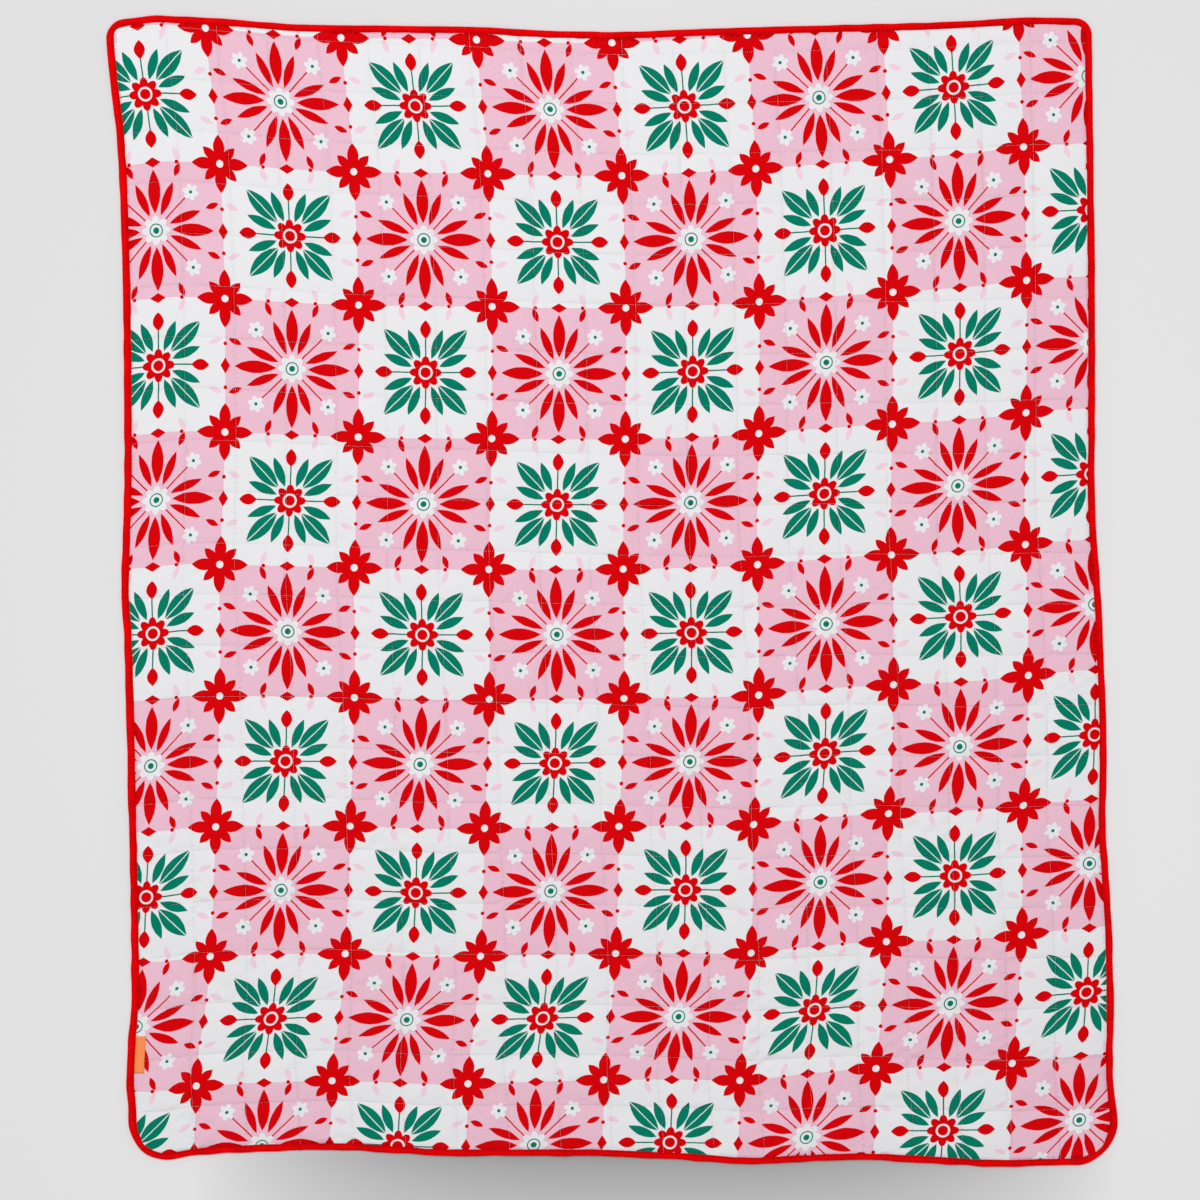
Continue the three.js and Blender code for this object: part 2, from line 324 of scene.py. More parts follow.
face = {
    "cells": {"rim": 1, "square": 7, "strip": 2},   # before the subdivision doubles them
    "frames": 20,
    "cloth": {"quality": 5, "mass": 0.15, "bending_stiffness": 2, "use_pressure": True,
              "uniform_pressure_force": 0.9, "shrink_min": -0.006, "shrink_max": -0.006},
    "unevenStart": 0.4,
    "seed": 11,
    "filled": 3.9,              # how high the wadding pushes the puffs above their seams
    "shoulder": 0.5,            # under 1, the puffs stand steep beside the seams and flat on top
    "towardsSeams": 0.8,        # how far the grid is drawn in towards the seams
    "pucker": {"height": 0.3, "reach": 6},
}


# The printed face before it is cut finer, blown up between its seams by Blender's cloth.
def puffedFace():
    mesh, i, j, stops = clothGrid("printedFace", face["cells"])
    s, t = clothAt(i, j, stops)[:2]
    onSeam = np.isin(i, stops[0]) | np.isin(j, stops[1])
    z = heldHeight(i, j, stops) + liftOff(s, t)
    z += face["unevenStart"] * np.random.default_rng(face["seed"]).random(len(z)) * ~onSeam
    writePlaces(mesh, np.stack([*laidOut(s, t), z], 1))
    piece = newPiece("quiltedPanel", mesh)
    blowUp(piece, onSeam)
    onLines = np.logical_or(*edgesOnLines(piece.data, i, j, *stops))
    markEdges(piece.data, "crease_edge", onLines.astype(float), "FLOAT")
    smooth = piece.modifiers.new("softCloth", "SUBSURF")
    smooth.levels = smooth.render_levels = 1
    smooth.uv_smooth = "NONE"
    return applied(piece)


# The shrinking is negative, which gives the cloth some slack between the seams.
def blowUp(piece, onSeam):
    held = piece.vertex_groups.new(name="heldBySeams")
    held.add(np.nonzero(onSeam)[0].tolist(), 1, "REPLACE")
    modifier = piece.modifiers.new("clothPuff", "CLOTH")
    for name, value in face["cloth"].items():
        setattr(modifier.settings, name, value)
    modifier.settings.vertex_group_mass = held.name
    modifier.settings.effector_weights.gravity = 0
    modifier.collision_settings.use_collision = False
    modifier.point_cache.frame_end = face["frames"]
    for number in range(1, face["frames"] + 1):
        bpy.context.scene.frame_set(number)
    applied(piece)
    piece.vertex_groups.clear()


# New places for the grid's lines, closer together beside the seams.
def drawnToSeams(stops):
    places = [np.array([0.0])]
    for start, end in zip(stops[:-1], stops[1:]):
        share = np.arange(1, end - start + 1) / (end - start)
        share = share - face["towardsSeams"] * np.sin(2 * math.pi * share) / (2 * math.pi)
        places.append(start + (end - start) * share)
    return np.concatenate(places)


# Reads an array of the grid between its rows and columns.
def readBetween(values, columns, rows):
    for axis, places in ((1, columns), (0, rows)):
        before = np.minimum(places.astype(int), values.shape[axis] - 2)
        f = (places - before).reshape([-1 if k == axis else 1 for k in range(values.ndim)])
        values = np.take(values, before, axis) * (1 - f) + np.take(values, before + 1, axis) * f
    return values


# Soft folds in the puffs, most of them towards the foot: long, shallow and askew.
creases = {
    "count": 400,
    "length": (25, 80),
    "width": (5, 12),
    "height": (0.4, 1.1),
    "angles": [(-40, -12), (15, 40)],   # degrees, in one range or the other
    "fade": 10,                         # how near to a seam they fade
    "seed": 23,
}


def creaseHeights(s, t):
    random = np.random.default_rng(creases["seed"])
    high = np.zeros_like(s)
    for _ in range(creases["count"]):
        middleS = random.uniform(-halfWidth, halfWidth)
        middleT = halfHeight * (1 - 2 * random.random() ** 0.6)
        low, top = random.choice(creases["angles"])
        angle = math.radians(random.uniform(low, top))
        length, width, height = (random.uniform(*creases[name]) for name in ("length", "width", "height"))
        along = (s - middleS) * math.cos(angle) + (t - middleT) * math.sin(angle)
        across = (t - middleT) * math.cos(angle) - (s - middleS) * math.sin(angle)
        high += height * random.choice([-1, 1]) * np.exp(-(along / length) ** 2 - (across / width) ** 2)
    return high


# Draws the grid in towards the seams, gives the puffs their steep shoulders and soft folds, and
# gathers the cloth beside the stitching.
def finishFace(piece):
    mesh = piece.data
    stops = [2 * ends for ends in gridStops(face["cells"])]
    i, j = np.rint(2 * takeMap(mesh, "gridMap")).astype(int)
    spots = np.empty((stops[1][-1] + 1, stops[0][-1] + 1, 3))
    spots[j, i] = readVectors(mesh.vertices, "co", 3) / mm
    columns, rows = drawnToSeams(stops[0]), drawnToSeams(stops[1])
    spots = readBetween(spots, columns, rows)
    gridI, gridJ = np.meshgrid(columns, rows)
    s, t, toColumn, toRow = clothAt(gridI, gridJ, stops)
    toSeam = np.minimum(toColumn, toRow)
    base = heldHeight(gridI, gridJ, stops) + liftOff(s, t)
    puff = np.maximum(spots[..., 2] - base, 0) / face["filled"]
    puff = face["filled"] * puff ** face["shoulder"]
    puff += creaseHeights(s, t) * np.clip(toSeam / creases["fade"], 0, 1)
    random = np.random.default_rng(face["seed"] + 1)
    gather = np.exp(-toSeam / face["pucker"]["reach"]) * (toSeam > 0.1)
    puff += face["pucker"]["height"] * gather * random.uniform(-1, 1, puff.shape)
    spots[..., 2] = base + puff
    writePlaces(mesh, spots[j, i])
    writeMap(mesh, "clothMap", s[j, i] * mm, t[j, i] * mm)
    writeMap(mesh, "seamMap", toColumn[j, i] * mm, toRow[j, i] * mm)
    marks = edgesOnLines(mesh, i, j, stops[0][2:-2], stops[1][2:-2])
    for name, chosen in zip(("seamAlong", "seamAcross"), marks):
        markEdges(mesh, name, chosen)
    markEdges(mesh, "sharp_edge", np.logical_or(*marks))


back = {
    "cells": {"rim": 1, "square": 4, "strip": 1},
    "drawnUp": 1.1,         # at the seams
    "rim": 0.6,             # and at its edge, above the floor
}


# The plain back, almost flat on the floor, joined to the face inside the binding.
def closePanel(piece):
    mesh, i, j, stops = clothGrid("plainBack", back["cells"])
    mesh.uv_layers.remove(mesh.uv_layers["gridMap"])
    s, t, toColumn, toRow = clothAt(i, j, stops)
    shares = puffShares(i, j, stops)
    onRim = (i == 0) | (j == 0) | (i == stops[0][-1]) | (j == stops[1][-1])
    z = back["drawnUp"] * (1 - (shares[0] * shares[1]) ** 0.5) + liftOff(s, t) + back["rim"] * onRim
    writePlaces(mesh, np.stack([*laidOut(s, t), z], 1))
    writeMap(mesh, "clothMap", s * mm, t * mm)
    writeMap(mesh, "seamMap", toColumn * mm, toRow * mm)
    whole = bmesh.new()
    whole.from_mesh(piece.data)
    faces = len(whole.faces)
    whole.from_mesh(mesh)
    whole.faces.ensure_lookup_table()
    bmesh.ops.reverse_faces(whole, faces=whole.faces[faces:])
    rims = [edge for edge in whole.edges if edge.is_boundary]
    bridge = bmesh.ops.bridge_loops(whole, edges=rims)["faces"]
    whole.faces.ensure_lookup_table()
    for part in whole.faces[faces:]:
        part.material_index = 1
    volume = finishShape(whole, piece.data)
    print("panel closed with", len(bridge), "faces at its edge, volume", round(volume * 1000, 2), "litres")
    bpy.data.meshes.remove(mesh)


# A run of random heights along an edge, smooth between its knots, that closes on itself.
def ripple(along, length, kind):
    count = max(4, round(length / kind["spacing"]))
    knots = kind["size"] * np.random.default_rng(kind["seed"]).uniform(-1, 1, count)
    place = along / length * count
    k = np.floor(place).astype(int)
    f = place - k
    f = f * f * (3 - 2 * f)
    return knots[k % count] * (1 - f) + knots[(k + 1) % count] * f


binding = {
    "colour": 0xE90004,
    "step": 4,
    "pucker": {"spacing": 9, "size": 0.3, "seed": 3},       # up and down
    "edge": {"spacing": 26, "size": 0.7, "seed": 4},        # in and out, at the fold
    "lipEdge": {"spacing": 17, "size": 0.5, "seed": 5},     # and at the lip
    # across the folded tape: share of the lip's width, distance in, height, share of the pucker
    "section": [
        (1, 0, 0.0, 0), (0.5, 0, 0.0, 0), (0, 0.9, 0.1, 0), (0, 0.1, 0.9, 0.3), (0, -0.1, 2.0, 0.6),
        (0, 0.4, 3.1, 0.9), (0, 1.6, 4.2, 1), (0.3, 0, 5.0, 1), (0.48, 0, 5.2, 1), (0.68, 0, 4.7, 0.8),
        (0.85, 0, 3.8, 0.2), (0.93, 0, 4.0, 0.6), (1, 0, 3.8, 0.5), (1, 0.1, 3.4, 0.4), (0.8, 0, 3.2, 0),
        (0, 2.4, 2.2, 0), (1, -0.6, 0.4, 0),
    ],
    "stitchRow": 10,         # the row of the section that the stitching runs along
    # the needle marks' darkening of the tape is painted shade
    "marks": {"reach": 2.6, "depth": 0.24, "swing": 0.12},      # the needle marks beside it
    # gathers: painted shade, darker in the gathers' hollows and lighter on their tops
    "uneven": {"slubs": 0.035, "gathers": 0.05, "patches": 0.06},
    "gathers": {"size": (4.5, 30), "height": 0.5},
    "patches": (35, 60),
}


def distanceAcross(spots):
    walk = np.linalg.norm(np.diff(spots[0], axis=0, append=spots[0][:1]), axis=1)
    return np.concatenate([[0], np.cumsum(walk)])


# Wraps a grid into a strip of the section's shape along the places, and closes it.
def wrappedStrip(name, places, spots, closed, stitchRow=None):
    stations, points = spots.shape[:2]
    across = distanceAcross(spots)
    columns = stations if closed else stations - 1
    mesh, i, j = flatGrid(name, columns, points)
    i, j = i.astype(int), j.astype(int)
    writePlaces(mesh, spots[i % stations, j % points])
    writeMap(mesh, "tapeMap", np.append(places["along"], places["length"])[i] * mm, across[j] * mm)
    if stitchRow is not None:
        first, second = edgeEnds(mesh)
        markEdges(mesh, "stitched", (j[first] == stitchRow) & (j[second] == stitchRow))
    strip = bmesh.new()
    strip.from_mesh(mesh)
    bmesh.ops.remove_doubles(strip, verts=strip.verts, dist=0.001 * mm)
    if not closed:
        bmesh.ops.holes_fill(strip, edges=[edge for edge in strip.edges if edge.is_boundary])
    finishShape(strip, mesh)
    return newPiece(name, mesh)


def foldedBinding():
    places = outlinePlaces(binding["step"])
    along, length = places["along"], places["length"]
    foot = 0.6 + 0.8 * (0.5 - places["t"] / cloth["height"])     # more puckered towards the foot
    pucker = foot * ripple(along, length, binding["pucker"])
    edge = foot * ripple(along, length, binding["edge"])
    lipEdge = ripple(along, length, binding["lipEdge"])
    spots = []
    for share, inset, height, puckered in binding["section"]:
        deep = share * (places["lip"] + lipEdge) + inset - (1 - share) * edge
        s, t = places["s"] - deep * places["outS"], places["t"] - deep * places["outT"]
        z = height + puckered * pucker + liftOff(places["s"], places["t"])
        spots.append(np.stack([*laidOut(s, t), z], 1))
    spots = np.stack(spots, 1)
    binding["stitchPlace"] = distanceAcross(spots)[binding["stitchRow"]]
    return wrappedStrip("edgeBinding", places, spots, True, binding["stitchRow"])


tab = {
    "colour": 0xFF9450,
    "seamRow": 2,           # it is centred on this cross seam, counted from the foot
    "length": 57,
    "reach": 15.4,
    "fromLip": 0.7,         # clear of the binding
    "above": 0.7,           # and of the cloth
    "step": 3,
    # the ribs' shade is painted: lighter on their tops, darker between them
    "ribs": {"pitch": 1.2, "height": 0.06, "shade": 0.02},
    "uneven": 0.02,
    # across the folded ribbon: distance from the lip, as a share of the reach, and height
    "section": [(0, 0.0), (0.35, 0.35), (0.7, 1.2), (0.96, 2.0), (1.0, 2.5), (0.96, 3.0), (0.7, 2.35),
                (0.35, 1.5), (0, 1.0), (0, 0.65), (0.35, 1.05), (0.93, 2.6), (0.35, 0.8), (0, 0.4)],
}


def foldedTab():
    steps = round(tab["length"] / tab["step"])
    t = alongLines[1 + tab["seamRow"]] + np.linspace(-0.5, 0.5, steps + 1) * tab["length"]
    edge = np.full(len(t), -halfWidth)
    spots = []
    for share, height in tab["section"]:
        deep = cloth["lips"]["left"] + tab["fromLip"] + share * tab["reach"]
        z = quilting["seamHeight"] + tab["above"] + height + liftOff(edge, t)
        spots.append(np.stack([*laidOut(edge + deep, t), z], 1))
    spots = np.stack(spots, 1)
    places = {"along": t - t[0], "length": tab["length"]}
    return wrappedStrip("sideTab", places, spots, False)


# One node with its settings and its links. An input is a value or another node's output.
def addNode(tree, kind, settings=None, inputs=None):
    node = tree.nodes.new(kind)
    for name, value in (settings or {}).items():
        setattr(node, name, value)
    for key, value in (inputs or {}).items():
        if isinstance(value, bpy.types.NodeSocket):
            tree.links.new(value, node.inputs[key])
        else:
            node.inputs[key].default_value = value
    return node


stitch = {
    "pitch": 3.2,
    "length": 2.3,
    "width": 0.7,
    "height": 0.5,
}


# Grains of thread along the marked edges of a piece, as one mesh.
def stitchesOn(name, source, mark):
    grain = bmesh.new()
    bmesh.ops.create_uvsphere(grain, u_segments=4, v_segments=2, radius=0.5)
    bmesh.ops.scale(grain, vec=Vector((stitch["width"], stitch["height"], stitch["length"])) * mm,
                    verts=grain.verts)
    grainMesh = bpy.data.meshes.new("grain")
    grain.to_mesh(grainMesh)
    grain.free()
    grainMesh.shade_smooth()
    grainPiece = newPiece("grain", grainMesh)
    group = bpy.data.node_groups.new("sewnThread", "GeometryNodeTree")
    for way in ("INPUT", "OUTPUT"):
        group.interface.new_socket("Geometry", in_out=way, socket_type="NodeSocketGeometry")
    start = addNode(group, "NodeGroupInput")
    marked = addNode(group, "GeometryNodeInputNamedAttribute", {"data_type": "BOOLEAN"}, {"Name": mark})
    lines = addNode(group, "GeometryNodeMeshToCurve", None,
                    {"Mesh": start.outputs[0], "Selection": marked.outputs["Attribute"]})
    points = addNode(group, "GeometryNodeCurveToPoints", {"mode": "LENGTH"},
                     {"Curve": lines.outputs[0], "Length": stitch["pitch"] * mm})
    shape = addNode(group, "GeometryNodeObjectInfo", None, {"Object": grainPiece})
    placed = addNode(group, "GeometryNodeInstanceOnPoints", None, {
        "Points": points.outputs["Points"],
        "Instance": shape.outputs["Geometry"],
        "Rotation": points.outputs["Rotation"],
    })
    solid = addNode(group, "GeometryNodeRealizeInstances", None, {"Geometry": placed.outputs[0]})
    addNode(group, "NodeGroupOutput", None, {0: solid.outputs[0]})
    piece = newPiece(name, source.data.copy())
    piece.modifiers.new("sewnThread", "NODES").node_group = group
    applied(piece)
    bpy.data.objects.remove(grainPiece)
    print(name, "has", len(piece.data.polygons), "faces")
    return piece


panel = puffedFace()
print("face puffed up")
finishFace(panel)
threadsAlong = stitchesOn("threadsAlong", panel, "seamAlong")
threadsAcross = stitchesOn("threadsAcross", panel, "seamAcross")
closePanel(panel)
bindingPiece = foldedBinding()
bindingThread = stitchesOn("bindingThread", bindingPiece, "stitched")
tabPiece = foldedTab()
print("pieces made:", len(panel.data.polygons), "faces in the panel,",
      len(bindingPiece.data.polygons), "in the binding")


def linearColour(hexValue):
    shades = [(hexValue >> shift & 255) / 255 for shift in (16, 8, 0)]
    return [*(c / 12.92 if c < 0.04045 else ((c + 0.055) / 1.055) ** 2.4 for c in shades), 1]


# Adds sums to a material. Each row gives the result's name, the operation and its inputs, which
# are numbers, outputs of nodes or the names of earlier results.
def addSums(known, rows):
    for result, operation, *inputs in rows:
        values = {k: known.get(value, value) for k, value in enumerate(inputs)}
        known[result] = addNode(known["tree"], "ShaderNodeMath", {"operation": operation}, values).outputs[0]


# How far a place is along a direction turned from the first axis towards the second, and across.
def turnedSums(along, across, first, second, degrees):
    cosine, sine = math.cos(math.radians(degrees)), math.sin(math.radians(degrees))
    return [
        (along + "Part", "MULTIPLY", first, cosine),
        (along, "MULTIPLY_ADD", second, sine, along + "Part"),
        (across + "Part", "MULTIPLY", second, cosine),
        (across, "MULTIPLY_ADD", first, -sine, across + "Part"),
    ]


# Falls from 1 to nothing on both sides of a distance of 0.
def bandSums(name, distance):
    return [
        (name + "Square", "MULTIPLY", distance, distance),
        (name + "Minus", "MULTIPLY", name + "Square", -1),
        (name, "EXPONENT", name + "Minus"),
    ]


# A material, and what is known in it so far, which starts with its node tree.
def startMaterial(name, roughness, specular):
    material = bpy.data.materials.new(name)
    material.use_nodes = True
    shader = material.node_tree.nodes["Principled BSDF"]
    shader.inputs["Roughness"].default_value = roughness
    shader.inputs["Specular IOR Level"].default_value = specular
    return material, {"tree": material.node_tree}


# Reads the two values of one of a piece's maps, in millimetres.
def addMap(known, mapName, names):
    place = addNode(known["tree"], "ShaderNodeUVMap", {"uv_map": mapName})
    parts = addNode(known["tree"], "ShaderNodeSeparateXYZ", None, {0: place.outputs[0]})
    addSums(known, [(name, "MULTIPLY", part, 1 / mm) for name, part in zip(names, parts.outputs)])


def startCloth(name, mapName, roughness=0.9, specular=0.04):
    material, known = startMaterial(name, roughness, specular)
    addMap(known, mapName, ("sMm", "tMm"))
    addSlubs(known)
    return material, known


# What is finer than the mesh. Lengths are in millimetres.
fine = {
    "weft": (4.5, 1.5),             # how long and how wide its slubs are
    "warp": (1.6, 5),
    "weaveHeight": 0.03,
    "patches": (130, 110),          # where the cloth is folded more
    "folds": {"falling": (-24, (70, 17)), "rising": (31, (60, 14))},    # degrees, length and width
    "foldHeight": 0.28,
    "puckerReach": 5,               # from the seam
    "uneven": (0.032, 0.007),       # how much the slubs show: what deep ink adds, and bare cloth
    # the needle marks' darkening is painted shade of the needle holes and the seam's groove
    "marks": (-0.28, -0.02),        # how the needle marks darken, the same way
    "backUneven": 0.015,
    # how much painted shade the needle marks give the back
    "backMarkShade": -0.04,
}


# Noise whose grains are as long and as wide as given, in mm. It swings about as far as 1 to
# both sides of 0.
def addGrain(known, name, size, detail=1, axes=("sMm", "tMm")):
    tree = known["tree"]
    places = [(name + axis, "MULTIPLY", axis, 1 / length) for axis, length in zip(axes, size)]
    addSums(known, places)
    place = addNode(tree, "ShaderNodeCombineXYZ", None, {k: known[row[0]] for k, row in enumerate(places)})
    noise = addNode(tree, "ShaderNodeTexNoise", {"noise_dimensions": "2D"},
                    {"Vector": place.outputs[0], "Scale": 1, "Detail": detail})
    addSums(known, [(name, "MULTIPLY_ADD", noise.outputs[0], 6, -3)])


# The thick and thin places of a plain weave. The threads are 0.4 mm apart and their slubs finer
# than the render shows, so these are drawn two or three threads wide.
def addSlubs(known):
    addGrain(known, "weft", fine["weft"])
    addGrain(known, "warp", fine["warp"])
    addSums(known, [("slubs", "MULTIPLY_ADD", "warp", 0.6, "weft")])


# Soft folds on the slant, finer than the mesh can hold. They come in patches and are deeper
# towards the foot.
def addWrinkles(known):
    addGrain(known, "patch", fine["patches"], 0)
    addSums(known, [
        ("patchy", "MULTIPLY_ADD", "patch", 0.55, 0.6),
        ("patchStrength", "MAXIMUM", "patchy", 0.1),
        ("footStrength", "MULTIPLY_ADD", "tMm", -0.45 / halfHeight, 0.65),
        ("wrinkled", "MULTIPLY", "patchStrength", "footStrength"),
        ("foldDepth", "MULTIPLY", "wrinkled", fine["foldHeight"]),
    ])
    for name, (degrees, size) in fine["folds"].items():
        axes = (name + "Along", name + "Across")
        addSums(known, turnedSums(*axes, "sMm", "tMm", degrees))
        addGrain(known, name, size, 0, axes)
    addSums(known, [
        ("folds", "ADD", "falling", "rising"),
        ("gathered", "MULTIPLY_ADD", "folds", "foldDepth", "puckers"),
    ])


# Gives a material its colour, made darker and lighter by the result named shade, around 1.
def giveColour(material, known, colour):
    tree = known["tree"]
    shade = addNode(tree, "ShaderNodeCombineXYZ", None, {axis: known["shade"] for axis in range(3)})
    mixed = addNode(tree, "ShaderNodeMix", {"data_type": "RGBA", "blend_type": "MULTIPLY"},
                    {"Factor": 1, "A": colour, "B": shade.outputs[0]})
    tree.links.new(mixed.outputs["Result"], tree.nodes["Principled BSDF"].inputs["Base Color"])
    return material


# Gives a cloth its surface too, whose height is the named result in millimetres.
def finishCloth(material, known, colour, height):
    tree = known["tree"]
    bump = addNode(tree, "ShaderNodeBump", None, {"Strength": 1, "Distance": mm, "Height": known[height]})
    tree.links.new(bump.outputs[0], tree.nodes["Principled BSDF"].inputs["Normal"])
    return giveColour(material, known, colour)


# The print: checks of pink and white with a flower in each, a star where they meet and a small
# lozenge between the stars. Places are from the middle of a check or of a star.
printing = {
    "pitch": (210, 202.4),
    "start": (19, 39),          # where the corner of a check lies
    "inkEdge": 0.15,            # how far the edges of the print wander
    "edgeGrain": [(11, 11), (12, 10)],
}

printColours = {
    "white": 0xEBEBED,
    "pink": 0xEDC0D1,
    "red": 0xD90208,
    "green": 0x027C64,
    "palePink": 0xF2D2DF,
}


# The rows of sums that draw one shape each. A leaf comes to a point at both ends.
def leafSums(name, along, across, centre, halfLength, halfBreadth):
    return [
        (name + "Place", "MULTIPLY_ADD", along, 1 / halfLength, -centre / halfLength),
        (name + "Squared", "MULTIPLY", name + "Place", name + "Place"),
        (name + "Edge", "MULTIPLY_ADD", name + "Squared", -halfBreadth, halfBreadth),
        (name, "LESS_THAN", across, name + "Edge"),
    ]


def distanceSums(name, along, across):
    return [
        (name + "Square", "MULTIPLY", along, along),
        (name + "Sum", "MULTIPLY_ADD", across, across, name + "Square"),
        (name, "SQRT", name + "Sum"),
    ]


def flowerSums(name, distance, angle, petals, core, petalLength):
    return [
        (name + "Turns", "MULTIPLY", angle, petals / 2),
        (name + "Wave", "COSINE", name + "Turns"),
        (name + "Petals", "ABSOLUTE", name + "Wave"),
        (name + "Edge", "MULTIPLY_ADD", name + "Petals", petalLength, core),
        (name, "LESS_THAN", distance, name + "Edge"),
    ]


def stemSums(name, along, across, length, halfBreadth):
    return [
        (name + "Thin", "LESS_THAN", across, halfBreadth),
        (name + "Short", "LESS_THAN", along, length),
        (name, "MULTIPLY", name + "Thin", name + "Short"),
    ]


# Whatever the shapes cover of a ground.
def inkSums(name, shapes, ground):
    rows = []
    covered = shapes[0]
    for shape in shapes[1:]:
        rows.append((name + "Or" + shape, "MAXIMUM", covered, shape))
        covered = name + "Or" + shape
    return [*rows, (name, "MULTIPLY", covered, ground)]


# Leaves and petals: what it lies along and across, where its middle is, half its length and width.
leafShapes = [
    ("whiteLeaf", "slant", "offSlant", 60, 33, 12),
    ("whiteSideLeaf", "spread", "offSpread", 47, 24, 7),
    ("bud", "major", "minor", 66, 14, 8.5),
    ("pinkLeaf", "major", "minor", 58, 33, 9.5),
    ("pinkSideLeaf", "spread", "offSpread", 50, 27, 6.5),
    ("accent", "spread", "offSpread", 97, 11, 4.5),
    ("starPetal", "starMajor", "starMinor", 24, 20, 9),
    ("starSlantPetal", "starSlant", "starOffSlant", 20, 15, 7),
]

# The cloth was laid askew and a little bowed before it was quilted, and the print with it.
askewSums = [
    ("wide", "MULTIPLY", "sMm", 1 / halfWidth),
    ("far", "MULTIPLY", "tMm", 1 / halfHeight),
    ("bowS", "MULTIPLY_ADD", "far", 27, -28),
    ("leanS", "MULTIPLY_ADD", "far", "bowS", "inkS"),
    ("turnT", "MULTIPLY_ADD", "far", 11, -24),
    ("bowT", "MULTIPLY_ADD", "wide", -19, "turnT"),
    ("slopeT", "MULTIPLY_ADD", "wide", "bowT", "inkT"),
    ("sagT", "MULTIPLY", "far", -15),
    ("leanT", "MULTIPLY_ADD", "far", "sagT", "slopeT"),
]

# Where a place lies in its check: from the nearest corner (the star), from the middle, along the
# slants, and along the direction half way between.
placeSums = []
for axis, pitch, start in zip("ST", printing["pitch"], printing["start"]):
    placeSums += [
        ("check" + axis, "MULTIPLY_ADD", "lean" + axis, 1 / pitch, -start / pitch),
        ("number" + axis, "FLOOR", "check" + axis),
        ("fromCorner" + axis, "PINGPONG", "check" + axis, 0.5),
        ("star" + axis, "MULTIPLY", "fromCorner" + axis, pitch),
        ("middle" + axis, "SUBTRACT", pitch / 2, "star" + axis),
    ]
placeSums += [
    ("checkNumber", "ADD", "numberS", "numberT"),
    ("isWhite", "PINGPONG", "checkNumber", 1),
    ("isPink", "SUBTRACT", 1, "isWhite"),
    ("major", "MAXIMUM", "middleS", "middleT"),
    ("minor", "MINIMUM", "middleS", "middleT"),
    ("starMajor", "MAXIMUM", "starS", "starT"),
    ("starMinor", "MINIMUM", "starS", "starT"),
    *turnedSums("slant", "offSlant", "minor", "major", 45),
    *turnedSums("starSlant", "starOffSlant", "starMinor", "starMajor", 45),
    *turnedSums("spread", "besideSpread", "major", "minor", 22.5),
    ("offSpread", "ABSOLUTE", "besideSpread"),
    *distanceSums("radius", "major", "minor"),
    ("angle", "ARCTAN2", "minor", "major"),
]

motifSums = [
    # the rosette on white, with a pale ring, and stems to its buds
    *flowerSums("rosette", "radius", "angle", 8, 17, 8),
    ("ring", "COMPARE", "radius", 9.5, 1.5),
    *stemSums("stem", "major", "minor", 58, 1.1),
    ("veinThin", "LESS_THAN", "offSlant", 0.7),
    ("vein", "MULTIPLY", "veinThin", "whiteLeaf"),
    # the blossoms on pink: one in the middle and four around it on the slant
    *flowerSums("blossom", "radius", "angle", 8, 15, 7),
    ("blossomEye", "LESS_THAN", "radius", 4.6),
    ("stamens", "COMPARE", "radius", 9.5, 0.9),
    ("smallAlong", "SUBTRACT", "slant", 80),
    *distanceSums("smallRadius", "smallAlong", "offSlant"),
    ("smallAngle", "ARCTAN2", "offSlant", "smallAlong"),
    *flowerSums("smallBlossom", "smallRadius", "smallAngle", 6, 8, 5),
    ("smallEye", "LESS_THAN", "smallRadius", 2.6),
    *stemSums("slantStem", "slant", "offSlant", 72, 1.1),
    # the lozenge half way between two stars, and dots beside it
    ("lozengeSize", "MULTIPLY_ADD", "minor", 0.6, "starMinor"),
    ("lozenge", "LESS_THAN", "lozengeSize", 7.5),
    ("dotAlong", "SUBTRACT", "starMajor", 68),
    *distanceSums("dotRadius", "dotAlong", "starMinor"),
    ("dot", "LESS_THAN", "dotRadius", 3),
    *distanceSums("starRadius", "starMajor", "starMinor"),
    ("starHeart", "LESS_THAN", "starRadius", 12.25),
    ("starEye", "LESS_THAN", "starRadius", 5.48),
]

# What is printed in each ink: the shapes it fills, and the ground they are on (1 is either).
inks = [
    ("green", ("whiteLeaf", "whiteSideLeaf", "stem"), "isWhite"),
    ("redOnWhite", ("rosette", "bud"), "isWhite"),
    ("redOnPink", ("pinkLeaf", "pinkSideLeaf", "slantStem", "accent"), "isPink"),
    ("redOnBoth", ("starPetal", "starSlantPetal", "starHeart", "lozenge", "dot"), 1),
    ("red", ("redOnBoth", "redOnWhite", "redOnPink"), 1),
    ("pale", ("accent",), "isWhite"),
    ("whiteOnPink", ("blossom", "smallBlossom"), "isPink"),
    ("whiteOnWhite", ("ring", "vein"), "isWhite"),
    ("white", ("whiteOnPink", "whiteOnWhite", "starEye"), 1),
    ("greenOnPink", ("blossomEye", "smallEye", "stamens"), "isPink"),
]


# The colour of the print, before the cloth's own unevenness.
def printedColour(known):
    for name, size, place in zip(("inkS", "inkT"), printing["edgeGrain"], ("sMm", "tMm")):
        addGrain(known, name + "Wander", size)
        addSums(known, [(name, "MULTIPLY_ADD", name + "Wander", printing["inkEdge"], place)])
    addSums(known, askewSums + placeSums)
    for shape in leafShapes:
        addSums(known, leafSums(*shape))
    addSums(known, motifSums)
    for row in inks:
        addSums(known, inkSums(*row))
    ink = {name: linearColour(value) for name, value in printColours.items()}
    colour = ink["pink"]
    for mask, name in (("isWhite", "white"), ("pale", "palePink"), ("green", "green"), ("red", "red"),
                       ("white", "white"), ("greenOnPink", "green")):
        mix = addNode(known["tree"], "ShaderNodeMix", {"data_type": "RGBA"},
                      {"Factor": known[mask], "A": colour, "B": ink[name]})
        colour = mix.outputs["Result"]
    return colour
